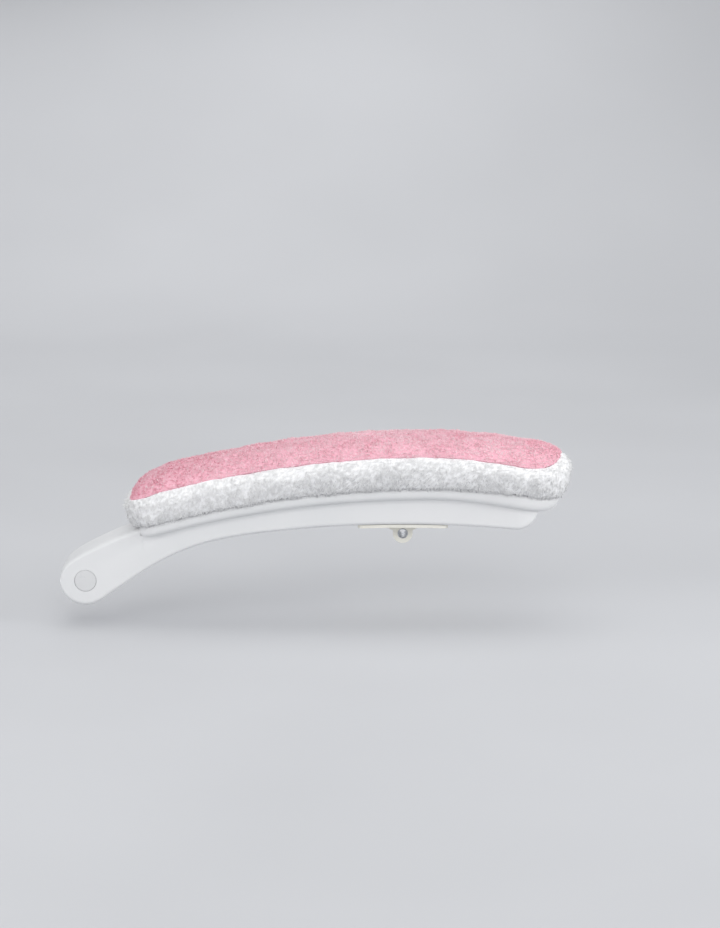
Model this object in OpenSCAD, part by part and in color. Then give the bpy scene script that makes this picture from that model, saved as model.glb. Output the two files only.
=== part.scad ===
// Armrest pad of a reclining chair: a plush pad on a moulded carrier beam.
// The beam slides on a block over the side bracket and turns on a bolt in the backrest.
// Origin: centre of the block's cross bore. +X front, -Y outer side, +Z up.

/* [Slide] */
// Radius of the curved underside that runs on the block
track_r = 1100; // [700:10:1800]
// Height of the underside above the cross bore's centre
track_h = 13; // [12:0.5:20]
// Travel of the pad to each side of the middle
travel = 65; // [30:1:70]
// Clearance between the block's faces and the beam
slide_gap = 0.3; // [0.2:0.05:0.6]
// Half length of the block's flange
flange_hl = 43.5; // [30:0.5:60]
// Half width of the block's flange
flange_hw = 30; // [20:0.5:32]
// Thickness of the block's flange
flange_t = 3; // [2:0.5:4]
// Half length of the neck in the slot
neck_hl = 10; // [7:0.5:14]
// Half width of the neck in the slot
neck_hw = 15; // [11:0.5:18]
// Thickness of the retainer on the neck
retainer_t = 6; // [4:0.5:8]
// Half width of the retainer
retainer_hw = 22; // [19:0.5:25]
// Half length of the retainer
retainer_hl = 26; // [16:0.5:30]
// Thickness of the steel track plate
plate_t = 1.5; // [1:0.25:3]
// Half width of the steel track plate
plate_hw = 28; // [24:0.5:29.5]
// Length of each rubber end stop
bumper_l = 9.7; // [5:0.1:14]

/* [Cross pin] */
// Bore of the steel sleeve in the block
pin_bore_d = 8.2; // [6:0.1:10]
// Outer diameter of the steel sleeve
pin_sleeve_d = 10; // [9:0.1:13]
// Width of the block's lug
lug_w = 24; // [18:0.5:34]
// Radius of the block's lug
lug_r = 9.5; // [8:0.25:11]

/* [Pad] */
// Half width of the tray
tray_hw = 41; // [38:0.5:50]
// Rear end of the tray
tray_rear = -255; // [-270:1:-230]
// Front end of the tray
tray_front = 151; // [140:1:190]
// Corner radius at the rear end
tray_rc = 20; // [12:1:30]
// Length of the rounded front
tray_nose = 48; // [30:1:60]
// Highest point of the crease, from the origin
crease_x = 26; // [0:1:50]
// Height of the crease at its highest point
crease_h = 50.1; // [46:0.5:65]
// Radius of the crease behind its highest point
crease_rr = 1000; // [700:10:1600]
// Radius of the crease ahead of its highest point
crease_rf = 560; // [400:10:1600]
// Height of the tray's rim
rim_h = 8; // [7:0.5:12]
// Wall of the tray's rim
rim_t = 2.3; // [1.8:0.1:3]
// Floor of the tray
tray_t = 2; // [1.5:0.1:3]
// Thickness of the wooden board
board_t = 5; // [4:0.5:6]
// Height of the side band above the crease
band_h = 31.3; // [24:0.5:45]
// How far the sides bulge past the tray
side_bulge = 8.7; // [5:0.5:14]
// How much further the two ends bulge
end_bulge = 3; // [0:0.5:6]
// Height of the crown above the seam
crown_h = 15.5; // [10:0.5:24]
// Thickness of the plush cover
plush_t = 4; // [2.5:0.5:5]
// Thickness of the cover's hem under the board
hem_t = 1.5; // [1:0.1:2]

/* [Beam] */
// Half width of the beam
beam_hw = 33; // [32:0.5:38]
// Wall of the beam
beam_t = 3; // [2.5:0.1:3]
// Front end of the beam, at its top
beam_front = 131; // [125:1:160]
// Radius of the beam's lower front end
beam_nose_r = 22; // [16:1:26]
// Corner radius of the beam's front, from above
beam_front_rc = 14; // [8:1:20]
// Radius of the beam's lower edges
beam_edge_r = 4; // [2:0.5:5]
// Outer side of the arm behind the pad, from the middle
arm_hw = 32; // [28:0.5:32]
// Inner side of the arm behind the pad, from the middle
arm_in = 18; // [14:0.5:26]
// Height of the cove under the rim
cove_h = 8; // [5:0.5:10]
// How far the cove's top reaches in from the tray's edge
cove_in = 1.3; // [0.5:0.1:3]
// Where the arm bends down
arm_bend_x = -208; // [-225:1:-195]
// Slope of the arm's lower edge, in degrees
arm_low_deg = 32.8; // [20:0.2:40]
// Slope of the arm's upper edge where it leaves the pad, in degrees
arm_top_deg = 18; // [10:0.1:30]
// Rib thickness inside the arm
rib_t = 2.4; // [1.6:0.1:3]

/* [Rear pivot] */
// Centre of the pivot, along the beam
pivot_x = -306; // [-330:1:-285]
// Centre of the pivot, up
pivot_z = -42.3; // [-60:0.1:-30]
// Radius of the arm's rounded end
arm_end_r = 24.5; // [20:0.5:28]
// Diameter of the bolt's plain shank
bolt_d = 9; // [7:0.5:10]
// Diameter of the bolt's threaded end
bolt_end_d = 8; // [6:0.5:8]
// Outer diameter of the sleeve on the bolt
sleeve_d = 12; // [11:0.5:14]
// Running clearance of the bushes, on radius
bush_gap = 0.05; // [0.02:0.01:0.1]
// Outer diameter of the bushes
bush_d = 16; // [15:0.5:18]
// Outer diameter of the bushes' flanges
bush_flange_d = 20; // [18:0.5:22]
// Thickness of the bushes' flanges
bush_flange_t = 1.5; // [1:0.1:2.5]
// Diameter of the cap
cap_d = 21.5; // [21:0.1:30]
// Depth of the recess that holds the bolt's head
pivot_recess = 12; // [11:0.5:16]
// Free length of the bolt past the arm
bolt_free = 22; // [15:0.5:35]
// Thickness of the spacer on the inner side
spacer_t = 3; // [2:0.5:6]

/* [Pad screws] */
// Rear pair of screws, along the beam
screw_rear_x = -185; // [-200:1:-150]
// Front pair of screws, along the beam
screw_front_x = 113; // [112:1:116]
// Distance of each screw from the middle
screw_y = 16; // [12:0.5:19]
// Diameter of the screws
screw_d = 6; // [5:0.5:7]
// Depth of the screws' seats under the crease
screw_seat = 23; // [20:0.5:25]

/* [Hidden] */
$fn = 96;
fit = 0.05;          // clearance of pieces that sit on each other
soft_gap = 0.3;      // clearance round soft pieces
bend_fit = 0.15;     // clearance of pieces bent to the crease or to the slide's arc
thread_fit = 0.15;   // clearance of thin screws in their holes
arc_z = track_h - track_r;
board_low = -rim_h + tray_t + hem_t + 2 * bend_fit;
board_top = board_low + board_t;
board_in = rim_t + hem_t + 0.8;
slot_hw = neck_hw + 0.5;
slot_hl = travel + neck_hl + slide_gap + bumper_l;
plate_hl = slot_hl + 13;
track_screw_s = plate_hl - 5.5;
track_screw_y = plate_hw - 3.8;
track_screw_r = 1.75;
wall_out = -arm_hw;
recess_y = wall_out + pivot_recess;
boss_in = arm_in - bush_flange_t;
sleeve_out = recess_y - bush_flange_t - fit;
sleeve_in = arm_in + fit + spacer_t;
washer_t = 1.6;
bolt_head_h = 4.4;
boss_r = 13.5;
pad_boss_r = 9;
head_well_r = 6.7;
bolt_r = bolt_d / 2;
bolt_end_r = bolt_end_d / 2;
bolt_shoulder = 1.5;

// ---- curves ----

// Height of the crease at x: two arcs that meet at its highest point
function crease_r(x) = x < crease_x ? crease_rr : crease_rf;
function crease_z(x) =
    crease_h - crease_r(x) + sqrt(crease_r(x) * crease_r(x) - (x - crease_x) * (x - crease_x));
function crease_deg(x) = asin((x - crease_x) / crease_r(x));

// Height at x of an arc about the slide's centre
function arc_height(r, x) = arc_z + sqrt(r * r - x * x);

// A level in the pad's stack, measured square to the crease at x
function square_to(x, h) = h * cos(crease_deg(x));

// Half width at x of an outline with round corners behind and a full nose ahead
nose_power = 2.3;
function outline_hw(x, hw, rear, front, rc, nose) =
    x < rear + rc ? hw - rc + sqrt(max(0, rc * rc - pow(rear + rc - x, 2)))
    : x > front - nose
        ? hw * pow(max(0, 1 - pow((x - front + nose) / nose, nose_power)), 1 / nose_power)
        : hw;

// ---- pad outline: points [x, y, nx, ny] from the rear, along +Y, round the nose and back ----

corner_n = 5;
side_n = 14;
nose_n = 8;
half_outline = concat(
    [for (i = [0 : corner_n])
        let (a = 180 - 90 * i / corner_n)
        [tray_rear + tray_rc + tray_rc * cos(a), tray_hw - tray_rc + tray_rc * sin(a), cos(a), sin(a)]],
    [for (i = [1 : side_n])
        [tray_rear + tray_rc + (tray_front - tray_nose - tray_rear - tray_rc) * i / side_n, tray_hw, 0, 1]],
    [for (i = [1 : nose_n])
        let (a = 90 - 90 * i / nose_n, p = 2 / nose_power,
             c = pow(cos(a), 2 - p) / tray_nose, s = pow(sin(a), 2 - p) / tray_hw, n = norm([c, s]))
        [tray_front - tray_nose + tray_nose * pow(cos(a), p), tray_hw * pow(sin(a), p), c / n, s / n]]
);
half_n = len(half_outline);
outline = concat(
    half_outline,
    [for (i = [half_n - 2 : -1 : 0])
        let (p = half_outline[i]) [p[0], -p[1], p[2], -p[3]]]
);
outline_n = len(outline);

// How far the bulge and the seam stand off the tray's outline, by the outline's normal
function bulge_d(nx) = side_bulge + end_bulge * abs(nx);
full_side = 17;
full_front = 11.7;
full_rear = 6;
function full_h(nx) = full_side + (nx > 0 ? full_front : full_rear) * nx * nx;
seam_side = 2;
seam_rear = 7;
seam_rise = 6.7;
seam_drop = 3;
function seam_d(nx) = nx < 0 ? seam_side + (seam_rear - seam_side) * -nx : seam_side;
function seam_h(nx) = band_h + (nx > 0 ? seam_rise * nx * nx : seam_drop * nx);

// A ring of the pad: the outline moved out by d(nx) at height h(nx) over the crease
function lift(p, d, h) =
    let (x = p[0] + p[2] * d) [x, p[1] + p[3] * d, crease_z(x) + h];
function level_ring(d, h) = [for (p = outline) lift(p, d, h)];

// A ring of the crown: share f of the way from the spine to the seam
spine_rear = -215;
spine_front = 100;
dome_round = 2.2;
dome_full = 0.6;
function spine_x(x) = min(max(x, spine_rear), spine_front);
function dome_point(p, f, inset, drop) =
    let (s = lift(p, seam_d(p[2]) - inset, 0),
         x = spine_x(s[0]) + (s[0] - spine_x(s[0])) * f,
         h = band_h + (seam_h(p[2]) - band_h) * f * f)
    [x, s[1] * f, crease_z(x) + h + crown_h * pow(1 - pow(f, dome_round), dome_full) - drop];
function dome_ring(f, inset, drop) = [for (p = outline) dome_point(p, f, inset, drop)];

// A closed skin over rings of points, each symmetric enough to be closed across its middle line
module skin(rings) {
    n = len(rings[0]);
    m = len(rings);
    last = (m - 1) * n;
    sides = [for (j = [0 : m - 2], i = [0 : n - 1])
        each let (a = j * n + i, b = j * n + (i + 1) % n) [[a, b, b + n], [a, b + n, a + n]]];
    strip = [for (i = [0 : ceil(n / 2) - 2])
        each let (a = i, b = i + 1, c = n - 2 - i, d = n - 1 - i) [[a, d, b], [b, d, c]]];
    first_cap = [for (t = strip) if (t[0] != t[2]) t];
    last_cap = [for (t = first_cap) [t[0] + last, t[2] + last, t[1] + last]];
    polyhedron(points = [for (r = rings) each r], faces = concat(sides, first_cap, last_cap));
}

// A closed skin over rings that run round a hollow, so that the last meets the first
module hoop(rings) {
    n = len(rings[0]);
    m = len(rings);
    faces = [for (j = [0 : m - 1], i = [0 : n - 1])
        each let (k = (j + 1) % m, a = j * n + i, b = j * n + (i + 1) % n,
                  c = k * n + i, d = k * n + (i + 1) % n) [[a, b, d], [a, d, c]]];
    polyhedron(points = [for (r = rings) each r], faces = faces);
}

// A bar bent about the slide's centre, from arc length s0 to s1
module arc_bar(r0, r1, hw, s0, s1) {
    deg_per_mm = 180 / PI / track_r;
    translate([0, 0, arc_z])
        rotate([0, -90, -90])
            rotate([0, 0, s0 * deg_per_mm])
                rotate_extrude(angle = (s1 - s0) * deg_per_mm, $fn = 360)
                    translate([r0, -hw])
                        square([r1 - r0, 2 * hw]);
}

// Places children on the slide's arc at arc length s, with +Z pointing away from its centre
module on_track(s) {
    translate([0, 0, arc_z])
        rotate([0, s * 180 / PI / track_r, 0])
            children();
}

// A cylinder along Y from y0 to y1
module y_rod(r, y0, y1) {
    translate([0, y0, 0])
        rotate([-90, 0, 0])
            cylinder(r = r, h = y1 - y0);
}

// Places children at each pad screw, with +Z square to the crease and z = 0 on it
module at_pad_screws() {
    for (x = [screw_rear_x, screw_front_x], y = [-screw_y, screw_y])
        translate([x, y, crease_z(x)])
            rotate([0, crease_deg(x), 0]) {
                $screw_x = x;
                children();
            }
}

// Places children at the rear pivot
module at_pivot() {
    translate([pivot_x, 0, pivot_z])
        children();
}

// ---- upholstery ----

// Pink plush over the top: an outer dome and an inner one, joined along the seam
module top_panel() {
    shares = [0.08, 0.3, 0.55, 0.78, 0.93];
    color("pink")
        skin(concat(
            [for (f = shares) dome_ring(f, plush_t, plush_t)],
            [dome_ring(1, plush_t, plush_t / 2), dome_ring(1, 0, 0)],
            [for (i = [len(shares) - 1 : -1 : 0]) dome_ring(shares[i], 0, 0)]
        ));
}

// White plush round the sides: hem under the board, up inside the rim, out over it to the seam
module side_band() {
    hem_in = board_in + 10;
    skin_out = rim_t + soft_gap;
    skin_in = skin_out + hem_t;
    under = -rim_h + tray_t;
    profile = function (nx)
        let (b = bulge_d(nx), s = seam_d(nx), f = full_h(nx), h = seam_h(nx), t = plush_t)
        [
            [-hem_in, under + bend_fit], [-skin_out, under + bend_fit], [-skin_out, 0.6], [0.3 * b, 0.14 * f],
            [0.72 * b, 0.45 * f], [b, f], [0.94 * b, f + 0.42 * (h - f)], [s + 0.5 * (b - s), f + 0.75 * (h - f)],
            [s, h - 0.5], [s - t, h - t / 2 - 0.5], [0.94 * b - t, f + 0.36 * (h - f)], [b - t, f],
            [0.72 * b - t, 0.52 * f], [0.3 * b - t, 0.25 * f], [-skin_in, 1.6], [-skin_in, board_low - bend_fit],
            [-hem_in, board_low - bend_fit]
        ];
    rows = len(profile(0));
    color("white")
        hoop([for (j = [0 : rows - 1])
            [for (p = outline) let (q = profile(p[2])[j]) lift(p, q[0], q[1])]]);
}

// Foam block between the board and the cover
module foam_core() {
    gap = plush_t + soft_gap;
    color("khaki")
        skin(concat(
            [for (q = [[0, -board_in - soft_gap, board_top + soft_gap, 0], [0.3, -gap - 0.7, 0.9, 0.25],
                       [0.72, -gap - 0.5, 0.6, 0.52], [1, -gap, 0, 1]])
                [for (p = outline) lift(p, q[0] * bulge_d(p[2]) + q[1], q[2] + q[3] * full_h(p[2]))]],
            [[for (p = outline)
                let (f = full_h(p[2])) lift(p, 0.94 * bulge_d(p[2]) - gap - 0.3, f + 0.3 * (seam_h(p[2]) - f))]],
            [for (f = [0.98, 0.9, 0.75, 0.5, 0.08]) dome_ring(f, gap + 0.8, gap + 0.3)]
        ));
}

// Plywood board, bent to the crease, with counterbored holes for the nuts
module base_board() {
    color("burlywood")
        difference() {
            skin([level_ring(-board_in, board_low), level_ring(-board_in, board_top)]);
            at_pad_screws() {
                cylinder(r = nut_barrel_r + fit, h = 60, center = true);
                translate([0, 0, nut_top($screw_x) - nut_flange_t - fit])
                    cylinder(r = nut_flange_r + fit, h = 10);
            }
        }
}
nut_barrel_r = screw_d / 2 + 1.1;
nut_flange_r = screw_d / 2 + 5.5;
nut_flange_t = 1.2;
function nut_top(x) = square_to(x, board_top) - 0.2;

// Pronged nuts let into the board's top
module board_tnuts() {
    color("silver")
        at_pad_screws() {
            low = square_to($screw_x, board_low) + 0.2;
            high = nut_top($screw_x);
            difference() {
                union() {
                    translate([0, 0, low])
                        cylinder(r = nut_barrel_r, h = high - low);
                    translate([0, 0, high - nut_flange_t])
                        cylinder(r = nut_flange_r, h = nut_flange_t);
                }
                cylinder(r = screw_d / 2 + fit, h = 60, center = true);
            }
        }
}

// Staples through the hem into the board: a crown and two legs
module hem_staples() {
    wire = 0.8;
    crown = 9;
    leg = 4;
    inset = board_in + 6;
    rows = [for (i = [0 : half_n - 1])
        let (k = i - corner_n, m = k - side_n)
        if (i == 2 || (k > 0 && m <= 0 && k % 2 == 0) || (m > 0 && m < nose_n && m % 3 == 0)) i];
    color("silver")
        for (i = rows, side = [0, 1])
            let (p = outline[side == 0 ? i : outline_n - 1 - i],
                 q = lift(p, -inset, board_low - hem_t - 0.05))
                translate([q[0], q[1], q[2]])
                    rotate([0, crease_deg(q[0]), 0])
                        rotate([0, 0, atan2(p[3], p[2]) + 90]) {
                            translate([-crown / 2, -wire / 2, 0])
                                cube([crown, wire, wire]);
                            for (x = [-crown / 2, crown / 2 - wire])
                                translate([x, -wire / 2, 0])
                                    cube([wire, wire, leg]);
                        }
}

// ---- plastic shell ----

// Shallow tray under the cover: a rounded rim, a floor, and pads under the screws
module rim_tray() {
    floor_h = -rim_h + tray_t;
    color("whitesmoke")
        difference() {
            union() {
                skin([
                    level_ring(-cove_in, -rim_h), level_ring(-0.4, -0.82 * rim_h),
                    level_ring(0, -0.5 * rim_h), level_ring(-0.3, -0.15 * rim_h),
                    level_ring(-0.5 * rim_t, 0), level_ring(-rim_t, -0.15 * rim_h),
                    level_ring(-rim_t, floor_h)
                ]);
                at_pad_screws()
                    translate([0, 0, square_to($screw_x, floor_h - tray_t / 2)])
                        cylinder(r = pad_boss_r, h = square_to($screw_x, board_low - floor_h + tray_t / 2 - bend_fit));
            }
            at_pad_screws()
                cylinder(r = screw_d / 2 + 0.3, h = 60, center = true);
        }
}

// Lower front corner of the beam: a round whose lowest point meets the underside
nose_x = beam_front - beam_nose_r;
nose_z = arc_height(track_r, nose_x) + beam_nose_r;

// A smooth lower of two heights, rounded over about s
function soft_min(a, b, s) = -s * ln(exp(-a / s) + exp(-b / s));

// Arm: an upper edge that bows, a lower edge that bends into the underside, and a round end about the pivot
top_x = tray_rear + 6;
shoulder_x = tray_rear + 5;
top_drop = 1.2;
top_end_z = pivot_z + arm_end_r + 3.6;
top_bow = (crease_z(top_x) - top_drop - top_end_z - (top_x - pivot_x) * tan(arm_top_deg)) / pow(top_x - pivot_x, 2);
function arm_top_line(x) =
    crease_z(top_x) - top_drop + (x - top_x) * tan(arm_top_deg) - top_bow * pow(x - top_x, 2);
function end_arc(x) = sqrt(max(0, arm_end_r * arm_end_r - pow(x - pivot_x, 2)));
end_turn = pivot_x - 12;
function end_top(x) = pivot_z + end_arc(min(x, end_turn)) + max(0, x - end_turn);
function arm_top(x) = soft_min(arm_top_line(x), end_top(x), 1);
low_z = pivot_z - arm_end_r / cos(arm_low_deg);
low_touch = pivot_x + arm_end_r * sin(arm_low_deg);
bend_soft = 8;
bend_rise = 3;
function arm_low_line(x) =
    low_z + (x - pivot_x) * tan(arm_low_deg) + bend_rise * min(1, max(0, (x - low_touch) / 50));
function arm_low(x) = x < low_touch ? pivot_z - end_arc(x) : arm_low_line(x);

// Top and bottom of the beam's section at x
function beam_top(x) = x < shoulder_x ? arm_top(x) : crease_z(x) - rim_h - bend_fit;
function beam_low(x) =
    x > beam_front
        ? beam_top(x) - chin_t - (cove_h - chin_t) * pow(1 - (x - beam_front) / chin_l, 0.8)
    : x > nose_x
        ? min(nose_z - sqrt(max(0, beam_nose_r * beam_nose_r - pow(x - nose_x, 2))),
              beam_top(beam_front) - cove_h)
    : x < low_touch ? arm_low(x)
    : min(arc_height(track_r, x), soft_min(arc_height(track_r, x) + 0.2, arm_low_line(x), bend_soft));
chin_l = tray_front - cove_in - beam_front;
chin_t = 1.5;

// Half widths of the section at x: flange under the tray, body, and the inner side of the arm
function body_hw(x) =
    x > beam_front
        ? 1 + (beam_hw - beam_front_rc - 1) * sqrt(max(0, 1 - pow((x - beam_front) / chin_l, 2)))
    : x > nose_x
        ? min(outline_hw(x, tray_hw, tray_rear, tray_front, tray_rc, tray_nose) - cove_h,
              beam_hw - beam_front_rc
              + sqrt(max(0, pow(beam_front_rc, 2) - pow(max(0, x - beam_front + beam_front_rc), 2))))
    : x < arm_bend_x ? max(arm_hw, beam_hw - (arm_bend_x - x) / 40) : beam_hw;
function flange_hw_at(x) = max(body_hw(x) + 0.2,
    outline_hw(x, tray_hw - cove_in, tray_rear + cove_in, tray_front - cove_in, tray_rc, tray_nose));
inner_round = 34;
inner_from = pivot_x - 9;
function ease(u) = let (v = min(1, max(0, u))) v * v * (3 - 2 * v);
function inner_hw(x) = x < inner_from
    ? arm_in - inner_round * (1 - sqrt(max(0, 1 - pow((inner_from - x) / (arm_end_r - 9), 2))))
    : arm_in + (body_hw(x) - arm_in) * ease((x - tray_rear) / 33);
trough_d = 1.1;
trough_hw = 6;
trough_drop = 15;
function trough(x, z) = trough_d * ease((x - pivot_x - 14) / 22) * ease((arm_bend_x - 6 - x) / 30)
    * exp(-pow((z - arm_top_line(min(x, top_x)) - max(0, x - top_x) * tan(arm_top_deg) + trough_drop) / trough_hw, 2));

// One side of the section at x, from the top middle down: [half width, height]
edge_n = 6;
wall_n = 7;
function lower_edge(w, l, e) =
    [for (i = [0 : edge_n])
        let (a = 90 * i / edge_n) [w - e * (1 - cos(a)), l + e * (1 - sin(a))]];
function wall(x, w, high, low) =
    [for (i = [1 : wall_n])
        let (z = high + (low - high) * i / (wall_n + 1)) [w - trough(x, z), z]];
function tub_side(x, w) =
    let (t = beam_top(x), l = beam_low(x), f = flange_hw_at(x),
         c = min(cove_h, 0.6 * (t - l)), e = min(beam_edge_r, 0.35 * (t - l), 0.5 * w))
    concat(
        [for (i = [0 : edge_n])
            let (a = 90 * i / edge_n, z = t - c * (1 - cos(a))) [w + (f - w) * (1 - sin(a)) - trough(x, z), z]],
        wall(x, w, t - c, l + e),
        lower_edge(w, l, e)
    );
function arm_side(x, w) =
    let (t = beam_top(x), l = beam_low(x), e = min(beam_edge_r, 0.45 * (t - l)), k = 1.5 * e)
    concat(
        [for (i = [0 : edge_n])
            let (a = 90 * i / edge_n) [w - k * (1 - sin(a)), t - e * (1 - cos(a))]],
        wall(x, w, t - e, l + e),
        lower_edge(w, l, e)
    );
function beam_section(x) =
    let (near = x < shoulder_x ? arm_side(x, body_hw(x)) : tub_side(x, body_hw(x)),
         far = x < shoulder_x ? arm_side(x, inner_hw(x)) : tub_side(x, inner_hw(x)),
         k = len(near))
    concat(
        [for (i = [0 : k - 1]) [x, far[i][0], far[i][1]]],
        [for (i = [k - 1 : -1 : 0]) [x, -near[i][0], near[i][1]]]
    );

// Stations along the beam, close together where it turns
end_n = 10;
bend_to = arm_bend_x + 24;
stations = concat(
    [for (i = [1 : end_n]) pivot_x - arm_end_r * cos(90 * i / end_n)],
    [for (i = [1 : 8]) pivot_x + (shoulder_x - 0.3 - pivot_x) * i / 8],
    [for (i = [0 : 4]) shoulder_x + (tray_rc - 5) * i / 4],
    [for (i = [1 : 9]) tray_rear + tray_rc + (bend_to - tray_rear - tray_rc) * i / 9],
    [for (i = [1 : 18]) bend_to + (nose_x - bend_to) * i / 18],
    [for (i = [1 : 9]) nose_x + beam_nose_r * sin(10 * i)],
    [beam_front + 0.4],
    [for (i = [1 : 5]) beam_front + chin_l * sin(17 * i)]
);

// Inside of the tub, from the side: floor along the slide's arc, and a round lower front corner
tub_rear = tray_rear + 37;
module tub_profile() {
    difference() {
        union() {
            translate([tub_rear, -60])
                square([nose_x - tub_rear, 130]);
            translate([nose_x, nose_z])
                circle(r = beam_nose_r - beam_t);
            translate([nose_x, nose_z])
                square([beam_nose_r - beam_t - 1, 40]);
        }
        translate([0, arc_z])
            circle(r = track_r + beam_t, $fn = 720);
    }
}

// Inside of the arm, from the side: walls of one thickness, with ribs and the pivot's boss left
module arm_profile() {
    t = beam_t + 0.4;
    front = tub_rear - beam_t;
    front_n = 4;
    top_n = 6;
    arc_n = 10;
    arc_to = 270 + arm_low_deg;
    bend_low = arm_bend_x - 22;
    roof = [for (i = [0 : front_n])
        let (x = front + (shoulder_x + 1 - front) * i / front_n) [x, beam_top(max(x, shoulder_x)) - t]];
    top_edge = [for (i = [0 : top_n])
        let (x = shoulder_x - t + (pivot_x + t - shoulder_x) * i / top_n) [x, arm_top(x) - 1.2 * t]];
    end_round = [for (i = [1 : arc_n])
        let (a = 100 + (arc_to - 100) * i / arc_n)
        [pivot_x + (arm_end_r - t) * cos(a), pivot_z + (arm_end_r - t) * sin(a)]];
    difference() {
        polygon(concat(
            roof, top_edge, end_round,
            [[bend_low, beam_low(bend_low) + 1.2 * t], [front, beam_low(front) + t]]
        ));
        translate([pivot_x, pivot_z])
            circle(r = boss_r);
        for (q = [[4, 62], [32, 84], [60, 62]])
            translate([pivot_x, pivot_z])
                rotate(q[0])
                    translate([boss_r - 2, -rib_t / 2])
                        square([q[1], rib_t]);
    }
}

// Room for the tray's round rear corners in the arm's shoulder
module tray_room() {
    gap = 0.3;
    low = crease_rr - rim_h - bend_fit;
    intersection() {
        translate([0, 0, -60])
            rounded_block_at(tray_rear - gap, tray_rear + 60, tray_hw + gap, tray_rc + gap, 140);
        translate([crease_x, tray_hw + 5, crease_h - crease_rr])
            rotate([90, 0, 0])
                linear_extrude(2 * tray_hw + 10)
                    difference() {
                        circle(r = crease_rr + 30, $fn = 720);
                        circle(r = low, $fn = 720);
                    }
    }
}

// Carrier beam: an open tub ahead, a ribbed arm behind, one moulding
module arm_beam() {
    color("white")
        difference() {
            union() {
                difference() {
                    skin([for (x = stations) beam_section(x)]);
                    intersection() {
                        translate([0, beam_hw + 5, 0])
                            rotate([90, 0, 0])
                                linear_extrude(2 * beam_hw + 10)
                                    tub_profile();
                        translate([0, 0, -80])
                            rounded_block_at(tub_rear - 1, beam_front - beam_t - 1, beam_hw - beam_t,
                                beam_front_rc - beam_t, 180);
                    }
                    translate([0, beam_hw + 5, 0])
                        rotate([90, 0, 0])
                            linear_extrude(beam_hw + 5 - wall_out - beam_t)
                                arm_profile();
                }
                at_pad_screws()
                    translate([0, 0, -screw_seat - 2.5])
                        cylinder(r = pad_boss_r, h = screw_seat + 2.5 - square_to($screw_x, rim_h + bend_fit + fit));
                at_pad_screws()
                    translate([0, 0, -(crease_z($screw_x) - beam_low($screw_x)) + 1.5])
                        cylinder(r = pad_boss_r, h = 12);
            }
            tray_room();
            at_pad_screws() {
                cylinder(r = screw_d / 2 + 0.3, h = 120, center = true);
                translate([0, 0, -screw_seat - 40])
                    cylinder(r = head_well_r, h = 40);
            }
            arc_bar(track_r - 6, track_r + beam_t + 6, slot_hw, -slot_hl, slot_hl);
            for (s = [-track_screw_s, track_screw_s], y = [-track_screw_y, track_screw_y])
                on_track(s)
                    translate([0, y, track_r + 0.6])
                        cylinder(r = track_screw_r, h = 5);
            at_pivot() {
                y_rod(bush_d / 2, -arm_hw - 10, arm_in + 10);
                y_rod(cap_d / 2, -arm_hw - 10, recess_y);
                y_rod(boss_r + 0.4, boss_in, arm_in + 10);
            }
        }
}

// ---- slide ----

// Steel plate over the slot
module track_plate() {
    low = track_r + beam_t + bend_fit;
    color("silver")
        difference() {
            arc_bar(low, low + plate_t, plate_hw, -plate_hl, plate_hl);
            arc_bar(track_r, low + plate_t + 1, slot_hw, -slot_hl, slot_hl);
            for (s = [-track_screw_s, track_screw_s], y = [-track_screw_y, track_screw_y])
                on_track(s)
                    translate([0, y, track_r])
                        cylinder(r = 2.2, h = 10);
        }
}

// Four self-tapping screws that hold the plate
module track_screws() {
    seat = track_r + beam_t + plate_t + 2 * bend_fit;
    color("silver")
        for (s = [-track_screw_s, track_screw_s], y = [-track_screw_y, track_screw_y])
            on_track(s)
                translate([0, y, seat]) {
                    cylinder(r1 = 3.5, r2 = 2.4, h = 2);
                    translate([0, 0, track_r + 1 - seat])
                        cylinder(r = track_screw_r - thread_fit, h = seat - track_r - 0.5);
                }
}

// Rubber stops at both ends of the slot
module end_bumpers() {
    color("dimgray")
        for (side = [-1, 1])
            arc_bar(track_r + 0.4, track_r + beam_t + plate_t - 0.2, slot_hw - fit,
                side > 0 ? slot_hl - bumper_l : -slot_hl + fit,
                side > 0 ? slot_hl - fit : -slot_hl + bumper_l);
}

neck_top = track_r + beam_t + bend_fit + plate_t + slide_gap;
retainer_low = neck_top + bend_fit;
retainer_screw_y = neck_hw / 2;
retainer_screw_r = 2.5;

// Nylon block under the beam: a curved flange, a neck through the slot, and a lug for the cross pin
module slide_block() {
    top = track_r - slide_gap;
    lug_z = top - flange_t / 2 + arc_z;
    color("white")
        difference() {
            union() {
                intersection() {
                    arc_bar(top - flange_t, top, flange_hw + 2, -flange_hl - 2, flange_hl + 2);
                    rounded_block_at(-flange_hl, flange_hl, flange_hw, 6, 40);
                }
                arc_bar(top - flange_t / 2, neck_top, neck_hw, -neck_hl, neck_hl);
                lug(lug_z);
            }
            y_rod(pin_sleeve_d / 2, -lug_w, lug_w);
            for (y = [-retainer_screw_y, retainer_screw_y])
                translate([0, y, lug_r - 2.2])
                    cylinder(r = retainer_screw_r, h = 40);
        }
}

// Lug round the cross bore: a round end, a stem up into the flange, and a gusset at each side
module lug(top) {
    gusset_t = 3;
    gusset_l = 16;
    gusset_low = 3;
    difference() {
        translate([0, lug_w / 2, 0])
            rotate([90, 0, 0])
                linear_extrude(lug_w) {
                    circle(r = lug_r);
                    polygon([[-lug_r, 0], [lug_r, 0], [lug_r, gusset_low], [lug_r + gusset_l, top],
                             [-lug_r - gusset_l, top], [-lug_r, gusset_low]]);
                }
        for (side = [-1, 1])
            translate([side * (lug_r + gusset_l), 0, 0])
                cube([2 * gusset_l, lug_w - 2 * gusset_t, 2 * (top - 1.2)], center = true);
    }
}

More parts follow.
